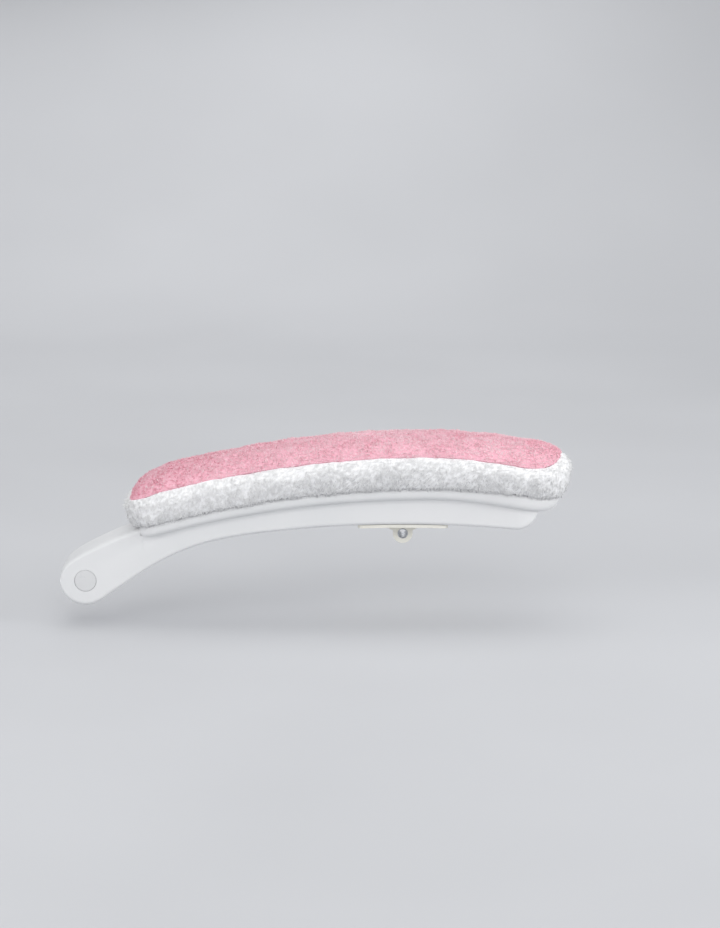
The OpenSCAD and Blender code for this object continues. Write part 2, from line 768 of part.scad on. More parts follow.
// A block with upright round corners, from x0 to x1 and half width hy
module rounded_block_at(x0, x1, hy, r, h) {
    linear_extrude(h) {
        translate([x0, -hy + r])
            square([x1 - x0, 2 * (hy - r)]);
        translate([x0 + r, -hy])
            square([x1 - x0 - 2 * r, 2 * hy]);
        for (x = [x0 + r, x1 - r], y = [-hy + r, hy - r])
            translate([x, y])
                circle(r = r);
    }
}

// Retainer on the neck, over the steel plate
module slide_retainer() {
    color("gray")
        difference() {
            intersection() {
                arc_bar(retainer_low, retainer_low + retainer_t, retainer_hw + 2,
                    -retainer_hl - 2, retainer_hl + 2);
                rounded_block_at(-retainer_hl, retainer_hl, retainer_hw, 4, 60);
            }
            for (y = [-retainer_screw_y, retainer_screw_y])
                translate([0, y, 0])
                    cylinder(r = retainer_screw_r + 0.2, h = 60);
        }
}

// Two screws down through the retainer into the block
module retainer_screws() {
    seat = arc_z + retainer_low + retainer_t + fit;
    low = lug_r - 2;
    color("silver")
        for (y = [-retainer_screw_y, retainer_screw_y])
            translate([0, y, 0]) {
                translate([0, 0, low])
                    cylinder(r = retainer_screw_r - fit / 2, h = seat - low + 1);
                difference() {
                    translate([0, 0, seat])
                        cylinder(r = 1.8 * retainer_screw_r, h = 3);
                    translate([0, 0, seat + 1.4])
                        cylinder(r = 2, h = 3, $fn = 6);
                }
            }
}

// Steel sleeve pressed into the lug, for the bracket's cross pin
module pin_sleeve() {
    color("silver")
        difference() {
            y_rod(pin_sleeve_d / 2, -lug_w / 2 - 0.3, lug_w / 2 + 0.3);
            y_rod(pin_bore_d / 2, -lug_w, lug_w);
        }
}

// ---- fasteners of the pad ----

// Four screws up through the beam and the tray into the board's nuts
module pad_screws() {
    under_head = -screw_seat - washer_t - 2 * fit;
    color("silver")
        at_pad_screws() {
            translate([0, 0, under_head])
                cylinder(r = screw_d / 2, h = nut_top($screw_x) - under_head - 0.2);
            difference() {
                translate([0, 0, under_head - 3.3])
                    cylinder(r1 = 4, r2 = 5.2, h = 3.3);
                translate([0, 0, under_head - 4])
                    cylinder(r = 2.3, h = 2.6, $fn = 6);
            }
        }
}

// Washers under the screws' heads
module pad_screw_washers() {
    color("silver")
        at_pad_screws()
            translate([0, 0, -screw_seat - fit - washer_t])
                difference() {
                    cylinder(r = head_well_r - 0.5, h = washer_t);
                    translate([0, 0, -1])
                        cylinder(r = screw_d / 2 + 0.2, h = washer_t + 2);
                }
}

// ---- rear pivot ----

// Two flanged nylon bushes pressed into the arm's boss from both sides
module pivot_bushes() {
    mid = (recess_y + boss_in) / 2;
    color("ivory")
        at_pivot()
            difference() {
                union() {
                    y_rod(bush_flange_d / 2, recess_y - bush_flange_t, recess_y);
                    y_rod(bush_d / 2, recess_y - fit, mid - 6);
                    y_rod(bush_flange_d / 2, boss_in, arm_in);
                    y_rod(bush_d / 2, mid + 6, boss_in + fit);
                }
                y_rod(sleeve_d / 2 + bush_gap, -arm_hw - 5, arm_hw + 5);
            }
}

// Plug over the bolt's head: a domed disc with a chamfered edge and a skirt
module pivot_cap() {
    r = cap_d / 2 - fit;
    y = wall_out;
    color("whitesmoke")
        at_pivot()
            difference() {
                translate([0, y - 0.8, 0])
                    rotate([-90, 0, 0])
                        rotate_extrude()
                            polygon([[0, 0], [r - 2.2, 0.15], [r - 0.9, 0.8], [r, 1.3], [r, 6.5], [r - 1.2, 6.5],
                                     [r - 1.2, 3], [0, 3]]);
                translate([0, y - 0.81, 0])
                    rotate([-90, 0, 0])
                        rotate_extrude()
                            translate([r - 3.4, 0])
                                circle(r = 0.35);
            }
}

// Steel sleeve that the bushes turn on
module pivot_sleeve() {
    color("silver")
        at_pivot()
            difference() {
                y_rod(sleeve_d / 2, sleeve_out, sleeve_in);
                y_rod(bolt_r + 0.1, sleeve_out - 1, sleeve_in + 1);
            }
}

// Bolt into the backrest, with a domed socket head
module pivot_bolt() {
    head_y = sleeve_out - fit - washer_t - fit;
    color("silver")
        at_pivot()
            difference() {
                union() {
                    y_rod(bolt_r, head_y - 1, sleeve_in + bolt_shoulder);
                    y_rod(bolt_end_r, sleeve_in, sleeve_in + bolt_free);
                    translate([0, head_y, 0])
                        rotate([90, 0, 0])
                            rotate_extrude()
                                polygon([[0, 0], [7, 0], [7, 1.2], [6.2, 2.8], [4.6, bolt_head_h], [0, bolt_head_h]]);
                }
                translate([0, head_y - bolt_head_h + 2.6, 0])
                    rotate([90, 0, 0])
                        cylinder(r = 2.9, h = 10, $fn = 6);
            }
}

// Washer under the bolt's head, wider than the sleeve
module pivot_washer() {
    color("silver")
        at_pivot()
            difference() {
                y_rod(cap_d / 2 - 1.5, sleeve_out - fit - washer_t, sleeve_out - fit);
                y_rod(bolt_r + 0.1, sleeve_out - 10, sleeve_out + 10);
            }
}

// Spacer between the arm and the backrest's bracket
module pivot_spacer() {
    color("silver")
        at_pivot()
            difference() {
                y_rod(boss_r - 0.5, arm_in + 2 * fit, sleeve_in);
                y_rod(sleeve_d / 2 + 0.02, arm_in, sleeve_in + 1);
            }
}

top_panel();
side_band();
foam_core();
base_board();
board_tnuts();
hem_staples();
rim_tray();
arm_beam();
track_plate();
track_screws();
end_bumpers();
pad_screws();
pad_screw_washers();
pivot_bushes();
pivot_cap();
slide_block();
slide_retainer();
retainer_screws();
pin_sleeve();
pivot_sleeve();
pivot_bolt();
pivot_washer();
pivot_spacer();
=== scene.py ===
"""Looks of a reclining chair's armrest pad: a plush cover on a moulded beam with its slide and pivot."""

import math

import bmesh
import bpy
import numpy as np
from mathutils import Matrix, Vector


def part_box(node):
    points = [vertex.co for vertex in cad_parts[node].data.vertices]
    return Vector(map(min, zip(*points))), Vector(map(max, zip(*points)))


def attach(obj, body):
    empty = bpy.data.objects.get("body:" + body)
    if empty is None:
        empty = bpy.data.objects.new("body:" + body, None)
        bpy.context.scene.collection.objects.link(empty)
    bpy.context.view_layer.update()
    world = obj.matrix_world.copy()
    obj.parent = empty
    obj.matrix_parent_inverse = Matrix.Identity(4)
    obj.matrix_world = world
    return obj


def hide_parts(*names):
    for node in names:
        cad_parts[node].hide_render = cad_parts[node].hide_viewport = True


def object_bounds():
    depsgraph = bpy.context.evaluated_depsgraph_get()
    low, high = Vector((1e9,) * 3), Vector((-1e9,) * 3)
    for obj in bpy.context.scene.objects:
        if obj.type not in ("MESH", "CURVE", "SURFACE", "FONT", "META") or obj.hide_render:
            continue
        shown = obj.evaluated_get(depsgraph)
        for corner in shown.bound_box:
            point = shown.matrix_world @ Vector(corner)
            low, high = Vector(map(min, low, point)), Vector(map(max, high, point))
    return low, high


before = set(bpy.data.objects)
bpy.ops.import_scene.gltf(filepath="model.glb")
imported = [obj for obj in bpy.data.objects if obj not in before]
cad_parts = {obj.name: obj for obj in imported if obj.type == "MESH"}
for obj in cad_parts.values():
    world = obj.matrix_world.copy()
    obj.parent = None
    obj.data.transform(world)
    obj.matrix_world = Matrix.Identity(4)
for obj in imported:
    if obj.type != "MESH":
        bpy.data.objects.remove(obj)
CAD_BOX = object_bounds()
RNG = np.random.default_rng(20)
MM = 0.001

# Sizes in millimetres, as the construction has them.
# Tray outline from above: half width, rear and front ends, rear corner radius, length and roundness of the nose.
TRAY_HW = 41.0
TRAY_REAR = -255.0
TRAY_FRONT = 151.0
TRAY_RC = 20.0
TRAY_NOSE = 48.0
NOSE_POWER = 2.3
NOSE_MIDDLE = TRAY_FRONT - 0.5 * TRAY_NOSE
# Crease between cover and tray: its highest point, and the radii of its arcs behind and ahead of that point.
CREASE_X = 26.0
CREASE_H = 50.1
CREASE_RR = 1000.0
CREASE_RF = 560.0
# Tray rim: height, wall, floor, and how far the cove under it goes in.
RIM_H = 8.0
RIM_T = 2.3
TRAY_T = 2.0
COVE_IN = 1.3
# Side band: height, and how far it stands off the outline at the sides and more at the ends.
BAND_H = 31.3
SIDE_BULGE = 8.7
END_BULGE = 3.0
# Height over the crease at which the band is fullest: at the sides, and more at the front and rear.
FULL_SIDE = 17.0
FULL_FRONT = 11.7
FULL_REAR = 6.0
# Seam: how far it stands off at the sides and rear, its rise round the nose, its drop at the rear and its dip.
SEAM_SIDE = 2.0
SEAM_REAR = 7.0
SEAM_RISE = 13.2
SEAM_DROP = 3.0
SEAM_DIP = 3.0
# Crown: height over the seam, the ends of its spine, and the cover's thickness.
CROWN_H = 15.5
SPINE_REAR = -215.0
SPINE_FRONT = 100.0
PLUSH_T = 4.0


# ---- curves of the pad ----

CURVE_STEPS = 4000
WAVE_COUNT = 18


def crease_z(x):
    """Height of the crease: two circular arcs that meet at its highest point, z = H - R + sqrt(R^2 - (x - X)^2)."""
    radius = np.where(x < CREASE_X, CREASE_RR, CREASE_RF)
    return CREASE_H - radius + np.sqrt(radius**2 - (x - CREASE_X) ** 2)


def pad_outline(count):
    """Tray outline from above as [x, y, nx, ny]: round rear corners, straight sides and a superelliptic nose.

    The points lie evenly along the curve, from the rear middle along +Y, and mirror each other across Y = 0.
    """
    corner = np.linspace(np.pi, np.pi / 2, CURVE_STEPS)
    arc_x = TRAY_REAR + TRAY_RC + TRAY_RC * np.cos(corner)
    arc_y = TRAY_HW - TRAY_RC + TRAY_RC * np.sin(corner)
    turn = np.linspace(np.pi / 2, 0, CURVE_STEPS)
    power = 2 / NOSE_POWER
    nose_x = TRAY_FRONT - TRAY_NOSE + TRAY_NOSE * np.cos(turn) ** power
    nose = np.stack([nose_x, TRAY_HW * np.sin(turn) ** power], 1)
    half = np.concatenate([[[TRAY_REAR, 0.0]], np.stack([arc_x, arc_y], 1), nose])
    length = np.concatenate([[0], np.cumsum(np.linalg.norm(np.diff(half, axis=0), axis=1))])
    at = (np.arange(count // 2) + 0.5) / (count // 2) * length[-1]
    x = np.interp(at, length, half[:, 0])
    y = np.interp(at, length, half[:, 1])
    x = np.concatenate([x, x[::-1]])
    y = np.concatenate([y, -y[::-1]])
    dx = np.roll(x, -1) - np.roll(x, 1)
    dy = np.roll(y, -1) - np.roll(y, 1)
    size = np.hypot(dx, dy)
    return np.stack([x, y, -dy / size, dx / size], 1)


def bulge(nx):
    """How far the cover stands off the tray's outline at its fullest, by the outline's normal."""
    return SIDE_BULGE + END_BULGE * np.abs(nx)


def full_height(nx):
    """Height over the crease at which the cover is fullest: higher round the nose and at the rear."""
    return FULL_SIDE + np.where(nx > 0, FULL_FRONT, FULL_REAR) * nx**2


def seam_off(nx):
    """How far the seam stands off the tray's outline."""
    return SEAM_SIDE + (SEAM_REAR - SEAM_SIDE) * np.maximum(0, -nx)


def smooth_step(value, start, end):
    """0 before start, 1 after end, and 3 t^2 - 2 t^3 between them."""
    t = np.clip((value - start) / (end - start), 0, 1)
    return t * t * (3 - 2 * t)


def seam_height(x, nx):
    """Height of the seam over the crease: it dips toward the front, rises round the nose and drops at the rear."""
    dip = SEAM_DIP * smooth_step(x, CREASE_X, NOSE_MIDDLE)
    return BAND_H - dip + SEAM_RISE * np.maximum(0, nx) ** 3 - SEAM_DROP * np.maximum(0, -nx)


def lift(outline, off, height):
    """Outline points moved out by off along their normals, at a height over the crease."""
    x = outline[:, 0] + outline[:, 2] * off
    y = outline[:, 1] + outline[:, 3] * off
    return np.stack([x, y, crease_z(x) + height], 1)


def round_through(points, count):
    """Catmull-Rom curve through control rows of shape (rows, n, k), resampled to count rows.

    Between rows b and c at t: (2b + (c - a) t + (2a - 5b + 4c - d) t^2 + (3b - a - 3c + d) t^3) / 2, with a before b
    and d after c, and the end rows repeated past the ends.
    """
    last = len(points) - 1
    at = np.linspace(0, last, count)
    i = np.minimum(at.astype(int), last - 1)
    t = (at - i)[:, None, None]
    a, b, c, d = (points[np.clip(i + k, 0, last)] for k in (-1, 0, 1, 2))
    return 0.5 * (2 * b + (c - a) * t + (2 * a - 5 * b + 4 * c - d) * t**2 + (3 * b - a - 3 * c + d) * t**3)


def waves(points, wavelength, seed):
    """Smooth noise of unit size: a sum of sine waves in random directions with lengths near one value."""
    rng = np.random.default_rng(seed)
    direction = rng.normal(size=(WAVE_COUNT, 3))
    direction /= np.linalg.norm(direction, axis=1)[:, None]
    rate = 2 * np.pi / (wavelength * rng.uniform(0.7, 1.5, WAVE_COUNT))
    phase = rng.uniform(0, 2 * np.pi, WAVE_COUNT)
    flat = points.reshape(-1, 3)
    total = np.zeros(len(flat))
    for k in range(WAVE_COUNT):
        total += np.sin(flat @ (direction[k] * rate[k]) + phase[k])
    return (total / math.sqrt(WAVE_COUNT / 2)).reshape(points.shape[:-1])


# ---- meshes ----

# The distance in metres inside which doubles merge, and a length that keeps a division by zero out.
MERGE_M = 2e-6
TINY = 1e-9


def unit(vectors):
    """The vectors along the last axis, each scaled to length 1."""
    return vectors / (np.linalg.norm(vectors, axis=-1, keepdims=True) + TINY)


def linked(name, mesh, material):
    """A mesh with its material as an object at the scene's origin."""
    piece = bpy.data.objects.new(name, mesh)
    bpy.context.collection.objects.link(piece)
    mesh.materials.append(material)
    return piece


def new_piece(name, points_mm, faces, material):
    """A mesh object at the origin from points in millimetres and faces of three or four corners."""
    mesh = bpy.data.meshes.new(name)
    mesh.from_pydata((np.asarray(points_mm) * MM).tolist(), [], [tuple(f) for f in faces])
    mesh.validate()
    mesh.polygons.foreach_set("use_smooth", np.ones(len(mesh.polygons), bool))
    return linked(name, mesh, material)


def ring_faces(rings, count, closed):
    """Quads between rings of points, outward where the rings climb and run clockwise from above."""
    j = np.arange(rings if closed else rings - 1)[:, None]
    i = np.arange(count)[None, :]
    k = (j + 1) % rings
    n = (i + 1) % count
    quads = np.stack([j * count + i, k * count + i, k * count + n, j * count + n], -1)
    return quads.reshape(-1, 4)


def strip_faces(count, start, flip):
    """Closes a ring that mirrors across Y = 0 with quads from side to side."""
    i = np.arange(count // 2 - 1)
    quads = np.stack([i, i + 1, count - 2 - i, count - 1 - i], -1) + start
    return quads[:, ::-1] if flip else quads


def stacked(name, grid, material):
    """A closed piece over a stack of rings (rings, count, 3), both end rings closed across the middle."""
    rings, count, _ = grid.shape
    faces = [
        ring_faces(rings, count, False), strip_faces(count, 0, False), strip_faces(count, (rings - 1) * count, True)
    ]
    return new_piece(name, grid.reshape(-1, 3), np.concatenate(faces), material)


def hooped(name, grid, material):
    """A closed piece over rings whose last row meets the first."""
    rings, count, _ = grid.shape
    return new_piece(name, grid.reshape(-1, 3), ring_faces(rings, count, True), material)


def grid_frames(grid):
    """Unit normal and the two unit tangents at each point of a (rings, count, 3) grid that closes along its rings."""
    along = unit(np.roll(grid, -1, 1) - np.roll(grid, 1, 1))
    up = unit(np.gradient(grid, axis=0))
    return unit(np.cross(up, along)), along, up


def scatter(grid, count, rng):
    """Random places spread evenly by area over a grid: positions and their fractional row and column."""
    a = grid[:-1]
    b = grid[1:]
    width = np.linalg.norm(np.roll(a, -1, 1) - a, axis=-1)
    height = np.linalg.norm(b - a, axis=-1)
    weight = (width * height).ravel()
    cell = rng.choice(weight.size, count, p=weight / weight.sum())
    row, column = np.divmod(cell, grid.shape[1])
    return row + rng.random(count), column + rng.random(count)


def sample(values, row, column):
    """Bilinear values of a (rings, count, k) array that closes along its rings."""
    r0 = np.minimum(row.astype(int), values.shape[0] - 2)
    c0 = column.astype(int)
    fr = (row - r0)[:, None]
    fc = (column - c0)[:, None]
    c0 %= values.shape[1]
    c1 = (c0 + 1) % values.shape[1]
    low = values[r0, c0] * (1 - fc) + values[r0, c1] * fc
    high = values[r0 + 1, c0] * (1 - fc) + values[r0 + 1, c1] * fc
    return low * (1 - fr) + high * fr


# A tuft: points 0 to 2 round its base, 3 to 5 round its middle, and 6 at its tip. Its ridge and half width are in
# widths, and its middle's place in lengths.
TUFT_POINTS = 7
TUFT_FACES = np.array([
    [0, 2, 1], [0, 1, 4], [0, 4, 3], [3, 4, 6], [1, 2, 5], [1, 5, 4], [4, 5, 6], [2, 0, 3], [2, 3, 5], [5, 3, 6]
])
UNDER_FACES = [0, 4, 5, 6]
RIDGE_OUT = 0.3
HALF_WIDE = 0.5
RIDGE_STRAY = 0.25
MIDDLE_AT = 0.55
MIDDLE_WIDE = 0.85
# How far the middle's colour has come from the root's painted shade toward the tip.
MIDDLE_LIT_SHARE = 0.6
UPRIGHT_SHARE = 0.4
UNDER_SHARE = 0.6


def pile(name, root, skin, lean, bend, width, length, shade, share, material):
    """Tapered tufts with a roof-shaped section: each has a base, a bent middle and a tip, and is closed.

    The middle lies at MIDDLE_AT of the length along lean, and the tip at the full length along lean + bend. The
    section's ridge faces away from the skin. The shading normals of its two slopes lean to the skin's by share, and
    less on a tuft that stands upright; those of its underside point away from the ridge and along the tuft.
    """
    count = len(root)
    lean = unit(lean)
    outward = skin + RIDGE_STRAY * RNG.normal(size=(count, 3))
    outward = unit(outward - np.sum(outward * lean, axis=1)[:, None] * lean)
    across = np.cross(lean, outward)
    middle = root + lean * (MIDDLE_AT * length)[:, None]
    tip = middle + unit(lean + bend) * ((1 - MIDDLE_AT) * length)[:, None]
    spokes = [RIDGE_OUT * outward, HALF_WIDE * across, -HALF_WIDE * across]
    low = [root + s * width[:, None] for s in spokes]
    mid = [middle + s * (MIDDLE_WIDE * width)[:, None] for s in spokes]
    points = np.stack(low + mid + [tip], 1)
    faces = (np.arange(count)[:, None, None] * TUFT_POINTS + TUFT_FACES).reshape(-1, 3)

    mesh = bpy.data.meshes.new(name)
    mesh.vertices.add(count * TUFT_POINTS)
    mesh.vertices.foreach_set("co", (points * MM).ravel())
    mesh.loops.add(faces.size)
    mesh.loops.foreach_set("vertex_index", faces.ravel().astype(np.int32))
    mesh.polygons.add(len(faces))
    mesh.polygons.foreach_set("loop_start", np.arange(len(faces), dtype=np.int32) * 3)
    mesh.polygons.foreach_set("use_smooth", np.ones(len(faces), bool))
    mesh.update(calc_edges=True)

    # Height along the tuft for the painted shade from root to tip, and each tuft's tone.
    height = np.tile([0, 0, 0, MIDDLE_LIT_SHARE, MIDDLE_LIT_SHARE, MIDDLE_LIT_SHARE, 1.0], count)
    tone = np.repeat(shade, TUFT_POINTS)
    colour = np.stack([height, tone, np.zeros_like(tone), np.ones_like(tone)], 1)
    attribute = mesh.color_attributes.new("tuft", "FLOAT_COLOR", "POINT")
    attribute.data.foreach_set("color", colour.ravel())

    round_tuft = unit(points - np.stack([root] * 3 + [middle] * 4, 1))
    facing = np.sum(outward * skin, axis=1)[:, None]
    share = (UPRIGHT_SHARE + (share[:, None] - UPRIGHT_SHARE) * np.abs(facing))[:, None]
    soft = (share * skin[:, None, :] + (1 - share) * round_tuft)[:, TUFT_FACES]
    under = UNDER_SHARE * (skin - facing * outward) - outward
    soft[:, UNDER_FACES] = under[:, None, None, :]
    mesh.normals_split_custom_set(unit(soft).reshape(-1, 3).tolist())
    return linked(name, mesh, material)


def smooth_copy(node, name, angle_deg, edge_mm, material):
    """A copy of a CAD node with its doubles merged: smooth where faces meet at less than the angle, else sharp.

    Its sharp edges are rounded by edge_mm, or left where that is 0.
    """
    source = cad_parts[node].data
    points = np.zeros(len(source.vertices) * 3)
    source.vertices.foreach_get("co", points)
    points = points.reshape(-1, 3)
    source.calc_loop_triangles()
    corners = np.zeros(len(source.loop_triangles) * 3, np.int32)
    source.loop_triangles.foreach_get("vertices", corners)
    steps = np.round(points / MERGE_M).astype(np.int64)
    _, first, back = np.unique(steps, axis=0, return_index=True, return_inverse=True)
    faces = back.reshape(-1)[corners].reshape(-1, 3)
    faces = faces[np.all(faces != np.roll(faces, 1, axis=1), axis=1)]
    mesh = bpy.data.meshes.new(name)
    mesh.from_pydata(points[first].tolist(), [], faces.tolist())
    work = bmesh.new()
    work.from_mesh(mesh)
    for edge in work.edges:
        edge.smooth = len(edge.link_faces) == 2 and edge.calc_face_angle(0) < math.radians(angle_deg)
    for face in work.faces:
        face.smooth = True
    work.to_mesh(mesh)
    work.free()
    piece = linked(name, mesh, material)
    if edge_mm:
        edges = piece.modifiers.new("edge_round", "BEVEL")
        edges.width = edge_mm * MM
        edges.segments = 2
        edges.limit_method = "ANGLE"
        edges.angle_limit = math.radians(angle_deg)
        edges.harden_normals = True
    else:
        even = piece.modifiers.new("even_normals", "WEIGHTED_NORMAL")
        even.keep_sharp = True
    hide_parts(node)
    return piece


# ---- finishes ----


def rgb(red, green, blue):
    """Linear colour from display values out of 255."""
    share = np.array([red, green, blue]) / 255
    linear = np.where(share <= 0.04045, share / 12.92, ((share + 0.055) / 1.055) ** 2.4)
    return (*linear.tolist(), 1.0)


class Finish:
    """A node material on Object coordinates: a shader with constant sockets, and helpers that add and link nodes."""

    def __init__(self, name, roughness, **sockets):
        self.material = bpy.data.materials.new(name)
        self.material.use_nodes = True
        self.tree = self.material.node_tree
        self.shader = self.tree.nodes["Principled BSDF"]
        self.shader.inputs["Roughness"].default_value = roughness
        for socket, value in sockets.items():
            self.shader.inputs[socket.replace("_", " ")].default_value = value
        self.place = self.tree.nodes.new("ShaderNodeTexCoord").outputs["Object"]

    def add(self, kind, settings=(), **inputs):
        """A node with its settings; i0, i1 and so on name a socket by its place, other names by its label."""
        node = self.tree.nodes.new("ShaderNode" + kind)
        for key, value in settings:
            setattr(node, key, value)
        for key, value in inputs.items():
            numbered = key[0] == "i" and key[1:].isdigit()
            socket = node.inputs[int(key[1:]) if numbered else key.replace("_", " ")]
            if isinstance(value, bpy.types.NodeSocket):
                self.tree.links.new(value, socket)
            else:
                socket.default_value = value
        return node

    def noise(self, scale, detail, stretch=None):
        """Fractal noise from 0 to 1; scale is in waves per metre, and stretch scales the three axes."""
        place = self.place
        if stretch:
            place = self.add("Mapping", i0=place, i3=stretch).outputs[0]
        return self.add("TexNoise", Vector=place, Scale=scale, Detail=detail, Roughness=0.55).outputs[0]

    def spread(self, value, low, high, to_low=0.0, to_high=1.0):
        """A value carried from one range to another and held inside it."""
        return self.add("MapRange", i0=value, i1=low, i2=high, i3=to_low, i4=to_high).outputs[0]

    def blend(self, share, first, second):
        """A colour between two by a share from 0 to 1."""
        return self.add("Mix", settings=[("data_type", "RGBA")], i0=share, i6=first, i7=second).outputs[2]

    def math(self, kind, first, second):
        """Two values joined by an operation."""
        return self.add("Math", settings=[("operation", kind)], i0=first, i1=second).outputs[0]

    def paint(self, colour):
        """A pattern for the surface's colour."""
        self.tree.links.new(colour, self.shader.inputs["Base Color"])

    def gloss(self, value):
        """A pattern for the surface's roughness."""
        self.tree.links.new(value, self.shader.inputs["Roughness"])

    def relief(self, height, depth_mm, strength):
        """Bumps of a height from 0 to 1 times a depth."""
        bump = self.add("Bump", Height=height, Distance=depth_mm * MM, Strength=strength)
        self.tree.links.new(bump.outputs[0], self.shader.inputs["Normal"])


def plush_fibre(name, root, tip, deep):
    """Pile of tufts: painted shade darkening each tuft from its tip down to its root, each tuft's tone toward the
    deep colour, and broad cloudy patches.
    """
    sheen = {"Sheen_Weight": 0.2, "Sheen_Roughness": 0.5, "Sheen_Tint": tip}
    f = Finish(name, roughness=0.82, Specular_IOR_Level=0.2, **sheen)
    tuft = f.add("VertexColor", settings=[("layer_name", "tuft")]).outputs[0]
    parts = f.add("SeparateColor", i0=tuft)
    # Painted shade: the colour runs from the darker root up to the paler tip, for the shade at the foot of the pile.
    height = f.spread(parts.outputs[0], 0.0, 0.85)
    colour = f.blend(height, root, tip)
    patch = f.spread(f.noise(28.0, 4.0), 0.38, 0.66)
    # The deep colour comes in by each tuft's tone, which the naps fill with painted shade and light as well as random
    # flecks, and by the patches.
    share = f.math("ADD", f.math("MULTIPLY", parts.outputs[1], 0.7), f.math("MULTIPLY", patch, 0.15))
    f.paint(f.blend(share, colour, deep))
    return f.material


def plush_backing(name, pale, deep):
    """Knitted ground between the tufts: fine mottling with soft bumps."""
    f = Finish(name, roughness=0.95, Specular_IOR_Level=0.15)
    fleck = f.spread(f.noise(900.0, 3.0), 0.35, 0.65)
    f.paint(f.blend(fleck, deep, pale))
    f.relief(f.noise(700.0, 2.0), 0.5, 0.6)
    return f.material


def moulded_plastic(name, pale, deep, roughness=0.38):
    """Satin moulding: faint clouding in the colour, uneven gloss, and a very fine eroded grain."""
    f = Finish(name, roughness=roughness, Specular_IOR_Level=0.42)
    cloud = f.spread(f.noise(9.0, 3.0), 0.3, 0.7)
    f.paint(f.blend(cloud, deep, pale))
    f.gloss(f.spread(f.noise(60.0, 3.0), 0.3, 0.7, roughness - 0.05, roughness + 0.08))
    f.relief(f.noise(2600.0, 2.0), 0.03, 0.35)
    return f.material


def plated_steel(name):
    """Zinc-plated steel: a cool metal with crystal patches and fine turning marks."""
    f = Finish(name, roughness=0.34, Metallic=1.0)
    patch = f.spread(f.noise(350.0, 3.0), 0.35, 0.65)
    f.paint(f.blend(patch, rgb(168, 171, 176), rgb(205, 208, 212)))
    f.gloss(f.spread(f.noise(900.0, 2.0), 0.3, 0.7, 0.26, 0.42))
    f.relief(f.noise(1500.0, 2.0, stretch=(1.0, 0.15, 1.0)), 0.02, 0.4)
    return f.material


def rough_rubber(name):
    """Black rubber: matt, with dusty paler specks."""
    f = Finish(name, roughness=0.8, Specular_IOR_Level=0.3)
    dust = f.spread(f.noise(500.0, 4.0), 0.5, 0.75)
    f.paint(f.blend(dust, rgb(34, 34, 36), rgb(62, 62, 64)))
    f.relief(f.noise(1400.0, 2.0), 0.06, 0.5)
    return f.material


def birch_plywood(name):
    """Plywood: long grain streaks on the faces, with a fine raised grain."""
    f = Finish(name, roughness=0.65, Specular_IOR_Level=0.3)
    grain = f.spread(f.noise(60.0, 5.0, stretch=(0.25, 6.0, 6.0)), 0.3, 0.7)
    f.paint(f.blend(grain, rgb(196, 160, 114), rgb(224, 194, 150)))
    f.relief(f.noise(200.0, 3.0, stretch=(0.2, 5.0, 5.0)), 0.08, 0.4)
    return f.material


def open_foam(name):
    """Cut foam: pale yellow with a cell pattern."""
    f = Finish(name, roughness=0.95, Specular_IOR_Level=0.1)
    cells = f.add("TexVoronoi", Vector=f.place, Scale=900.0).outputs[0]
    f.paint(f.blend(f.spread(cells, 0.1, 0.6), rgb(206, 190, 140), rgb(236, 224, 184)))
    f.relief(f.spread(cells, 0.0, 0.6), 0.4, 0.6)
    return f.material


# Root, tip and deep colours: the darker root is painted shade at the foot of the pile, and the deep colour serves for
# painted shade as well as random tone and patches.
PINK_FIBRE = plush_fibre("pink_plush_fibre", rgb(247, 198, 210), rgb(251, 224, 230), rgb(222, 128, 152))
PINK_GROUND = plush_backing("pink_plush_ground", rgb(246, 195, 208), rgb(236, 174, 190))
WHITE_FIBRE = plush_fibre("white_plush_fibre", rgb(241, 241, 241), rgb(246, 246, 246), rgb(206, 206, 208))
WHITE_GROUND = plush_backing("white_plush_ground", rgb(252, 252, 252), rgb(244, 244, 246))
WHITE_SHELL = moulded_plastic("white_beam_plastic", rgb(227, 227, 228), rgb(221, 222, 223))
WHITE_CAP = moulded_plastic("white_cap_plastic", rgb(217, 217, 218), rgb(211, 212, 213), roughness=0.3)
NYLON = moulded_plastic("natural_nylon", rgb(232, 230, 222), rgb(222, 219, 208), roughness=0.45)
STEEL = plated_steel("zinc_plated_steel")
RUBBER = rough_rubber("black_stop_rubber")
PLYWOOD = birch_plywood("bent_plywood")
FOAM = open_foam("moulded_pad_foam")


# ---- upholstery ----

PAD = pad_outline(420)
NX = PAD[:, 2]


def crown_grid(shares, inset, drop):
    """The crown over the pad: ring f runs from the spine to the seam.

    x = spine + (seam - spine) f, y = seam f, and height = seam height on f squared plus crown (1 - f^2.2)^0.6.
    """
    seam = lift(PAD, seam_off(NX) - inset, 0)
    spine = np.clip(seam[:, 0], SPINE_REAR, SPINE_FRONT)
    f = np.asarray(shares)[:, None]
    x = spine + (seam[:, 0] - spine) * f
    y = seam[:, 1] * f
    rise = BAND_H + (seam_height(PAD[:, 0], NX) - BAND_H) * f**2 + CROWN_H * (1 - f**2.2) ** 0.6
    return np.stack([x, y, crease_z(x) + rise - drop], -1)


def band_grid(rows, count):
    """Control rows of (offset, height) from the tray's outline and the crease, joined by a smooth curve."""
    return round_through(np.stack([lift(PAD, off, height) for off, height in rows]), count)


def softly_uneven(grid, amounts, wavelengths, seed):
    """The grid moved along its normals by sums of smooth waves, each amount times the waves of its wavelength."""
    normal, _, _ = grid_frames(grid)
    wave = sum(a * waves(grid, w, seed + k) for k, (a, w) in enumerate(zip(amounts, wavelengths)))
    return grid + normal * wave[..., None]


OUT = bulge(NX)
FULL = full_height(NX)
SEAM = seam_off(NX)
SEAM_H = seam_height(PAD[:, 0], NX)
TO_SEAM = SEAM_H - FULL
SKIN_IN = RIM_T + 0.3
WRAP_IN = SKIN_IN + 1.5
HEM_IN = 14.6
HEM_TOP = -4.1
HEM_LOW = -5.7

